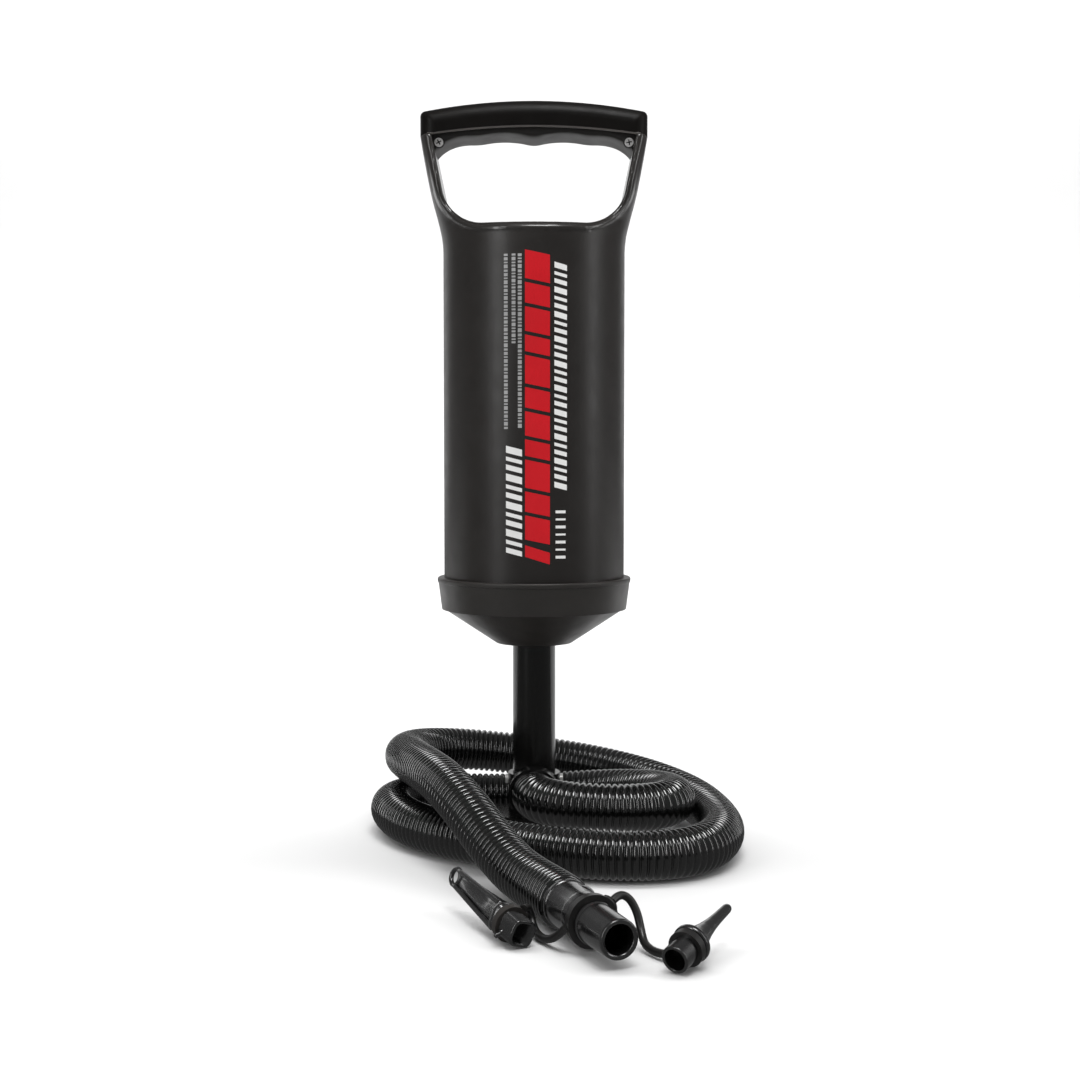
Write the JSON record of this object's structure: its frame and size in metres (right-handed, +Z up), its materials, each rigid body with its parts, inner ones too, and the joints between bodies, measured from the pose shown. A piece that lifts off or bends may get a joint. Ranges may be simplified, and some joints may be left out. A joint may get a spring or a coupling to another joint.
{
  "type": "double action hand pump",
  "caption": "Stand-up double-action air pump: a D-handled cylinder slides on a hollow rod and pushes air through a coiled hose to a nozzle with push-in adaptors.",
  "frame": {"origin": "on the floor, on the axis of the rod", "axes": "+Z up the rod, -Y towards the front where the hose leaves, +X to the right seen from the front"},
  "size_m": [0.1817, 0.295, 0.3561],
  "materials": {
    "body_plastic": "satin moulded charcoal",
    "grip_plastic": "satin moulded black",
    "collar_plastic": "satin moulded charcoal",
    "rod_plastic": "glossy black",
    "hose_plastic": "glossy black corrugated",
    "nozzle_plastic": "semi-gloss black",
    "strap_rubber": "soft black",
    "seal_rubber": "soft black",
    "steel": "zinc-plated",
    "inner_plastic": "natural white"
  },
  "bodies": {
    "stand": {"foot_pad": "seal_rubber", "foot_base": "rod_plastic", "foot_screws": "steel", "elbow_fitting": "rod_plastic", "rod_lock_screws": "steel", "rod_tube": "rod_plastic", "rod_plug": "inner_plastic", "piston_lower_plate": "inner_plastic", "piston_upper_plate": "inner_plastic", "piston_seal": "seal_rubber", "piston_screws": "steel", "piston_bolt": "steel", "piston_lower_disc_stop": "inner_plastic", "piston_upper_disc_stop": "inner_plastic", "hose": "hose_plastic", "hose_clamp_ring": "rod_plastic", "hose_end_cuff": "nozzle_plastic", "outlet_nozzle": "nozzle_plastic", "strap_ring": "strap_rubber", "right_strap": "strap_rubber", "left_strap": "strap_rubber", "pin_adaptor": "nozzle_plastic", "pin_adaptor_ring": "strap_rubber", "loop_adaptor": "nozzle_plastic", "loop_adaptor_ring": "strap_rubber"},
    "bush": {"rod_bush": "inner_plastic", "rod_seal": "seal_rubber"},
    "cylinder": {"cylinder_shell": "body_plastic", "grip_cap": "grip_plastic", "grip_insert": "body_plastic", "grip_screws": "steel", "end_cap": "collar_plastic", "cap_gasket": "seal_rubber", "upper_intake_disc_stop": "inner_plastic", "intake_screw": "steel", "lower_intake_disc_stop": "inner_plastic"},
    "lower_intake_valve": {"lower_intake_disc": "seal_rubber"},
    "upper_intake_valve": {"upper_intake_disc": "seal_rubber"},
    "piston_lower_valve": {"piston_lower_disc": "seal_rubber"},
    "piston_upper_valve": {"piston_upper_disc": "seal_rubber"}
  },
  "joints": [
    {"name": "cylinder_stroke", "type": "slide", "parent": "stand", "child": "bush", "axis": [0, 0, 1], "range_m": [-0.057, 0.074]},
    {"name": "cylinder_turn", "type": "hinge", "parent": "bush", "child": "cylinder", "pos_m": [0, 0, 0.1055], "axis": [0, 0, 1], "continuous": true},
    {"name": "lower_intake_lift", "type": "slide", "parent": "cylinder", "child": "lower_intake_valve", "axis": [0, 0, 1], "range_m": [0, 0.0012]},
    {"name": "upper_intake_lift", "type": "slide", "parent": "cylinder", "child": "upper_intake_valve", "axis": [0, 0, 1], "range_m": [0, 0.0012]},
    {"name": "piston_lower_lift", "type": "slide", "parent": "stand", "child": "piston_lower_valve", "axis": [0, 0, 1], "range_m": [0, 0.0012]},
    {"name": "piston_upper_lift", "type": "slide", "parent": "stand", "child": "piston_upper_valve", "axis": [0, 0, 1], "range_m": [0, 0.0012]}
  ]
}
